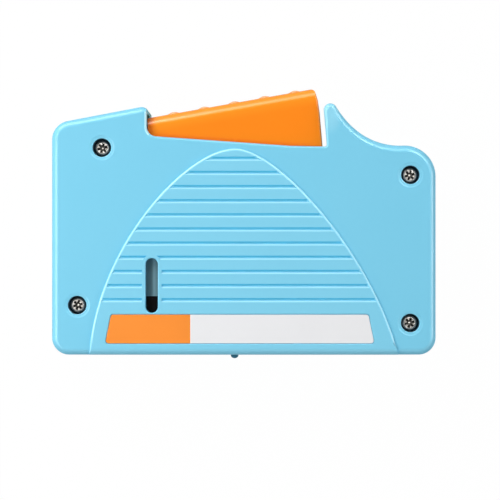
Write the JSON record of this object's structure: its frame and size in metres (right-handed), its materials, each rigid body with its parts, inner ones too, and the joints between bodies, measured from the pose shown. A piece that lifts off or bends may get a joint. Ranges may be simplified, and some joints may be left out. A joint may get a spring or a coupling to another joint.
{
  "type": "fibre optic cleaning cassette",
  "caption": "Handheld tape cassette for wiping fibre optic connector ends: two-part case with grip panels, squeeze lever, reels, gears and a sliding shutter over the wiping window.",
  "frame": {"origin": "centre rib of the back grip panel, on the face that the cassette lies on", "axes": "+X along the case from the supply reel to the take-up reel, +Y from the window edge to the lever, +Z from the back to the front"},
  "size_m": [0.13, 0.0926, 0.032],
  "materials": {
    "case_blue": "moulded sky-blue ABS, satin gloss",
    "screw_nickel": "nickel-plated steel",
    "label_film": "printed film, bare",
    "clear_pane": "clear plastic strip",
    "lever_orange": "moulded orange ABS, glossy",
    "pin_steel": "ground steel pin",
    "spring_steel": "spring steel",
    "gear_ivory": "natural acetal",
    "reel_grey": "black moulded plastic",
    "wipe_tape": "dark grey microfibre tape",
    "washer_felt": "pressed felt",
    "head_dark": "dark moulded plastic",
    "pad_rubber": "soft black rubber"
  },
  "bodies": {
    "case": {"front_shell": "case_blue", "rear_shell": "case_blue", "case_screws": "screw_nickel", "label": "label_film", "sight_window": "clear_pane", "lever_pin": "pin_steel", "lever_spring": "spring_steel", "idler_pin": "pin_steel", "take_up_spindle": "pin_steel", "click_spring": "spring_steel", "brake_washer": "washer_felt", "roller_pins": "pin_steel", "tape_span": "wipe_tape", "head_frame": "head_dark", "wipe_pad": "pad_rubber"},
    "lever": {"lever": "lever_orange"},
    "drive": {"drive_gear": "gear_ivory"},
    "take_up": {"take_up_reel": "reel_grey", "take_up_roll": "wipe_tape"},
    "supply": {"supply_reel": "reel_grey", "supply_roll": "wipe_tape"},
    "idler": {"idler_gear": "gear_ivory"},
    "shutter": {"shutter": "case_blue"},
    "roller_left": {"guide_roller_left": "gear_ivory"},
    "roller_right": {"guide_roller_right": "gear_ivory"}
  },
  "joints": [
    {"name": "lever_press", "type": "hinge", "parent": "case", "child": "lever", "pos_m": [-0.03803, 0.04018, 0.016], "axis": [0, 0, -1], "range_deg": [0, 12], "stiffness_Nm_per_rad": 1.2, "springref_deg": -6.88, "deforming": ["lever_spring"]},
    {"name": "drive_spin", "type": "hinge", "parent": "case", "child": "drive", "pos_m": [0.03601, 0.00075, 0.016], "axis": [0, 0, 1], "range_deg": [0, 40.6]},
    {"name": "take_up_spin", "type": "hinge", "parent": "case", "child": "take_up", "pos_m": [0.03601, 0.00075, 0.016], "axis": [0, 0, 1], "range_deg": [0, 40.6]},
    {"name": "supply_spin", "type": "hinge", "parent": "case", "child": "supply", "pos_m": [-0.03107, 0.00873, 0.016], "axis": [0, 0, 1], "range_deg": [0, 18.3]},
    {"name": "idler_spin", "type": "hinge", "parent": "case", "child": "idler", "pos_m": [0.01655, -0.01877, 0.016], "axis": [0, 0, -1], "range_deg": [0, 92.7]},
    {"name": "shutter_slide", "type": "slide", "parent": "case", "child": "shutter", "axis": [-1, 0, 0], "range_m": [0, 0.01555]},
    {"name": "roller_left_spin", "type": "hinge", "parent": "case", "child": "roller_left", "pos_m": [-0.0455, -0.0222, 0.016], "axis": [0, 0, 1], "range_deg": [0, 154]},
    {"name": "roller_right_spin", "type": "hinge", "parent": "case", "child": "roller_right", "pos_m": [0.01079, -0.0222, 0.016], "axis": [0, 0, 1], "range_deg": [0, 154]}
  ],
  "couplings": [
    {"joint": "drive_spin", "follows": "lever_press", "ratio": 3.375},
    {"joint": "take_up_spin", "follows": "lever_press", "ratio": 3.375},
    {"joint": "supply_spin", "follows": "lever_press", "ratio": 1.5153},
    {"joint": "idler_spin", "follows": "lever_press", "ratio": 7.7143},
    {"joint": "shutter_slide", "follows": "lever_press", "m_per_rad": 0.073956},
    {"joint": "roller_left_spin", "follows": "lever_press", "ratio": 12.802},
    {"joint": "roller_right_spin", "follows": "lever_press", "ratio": 12.802}
  ]
}
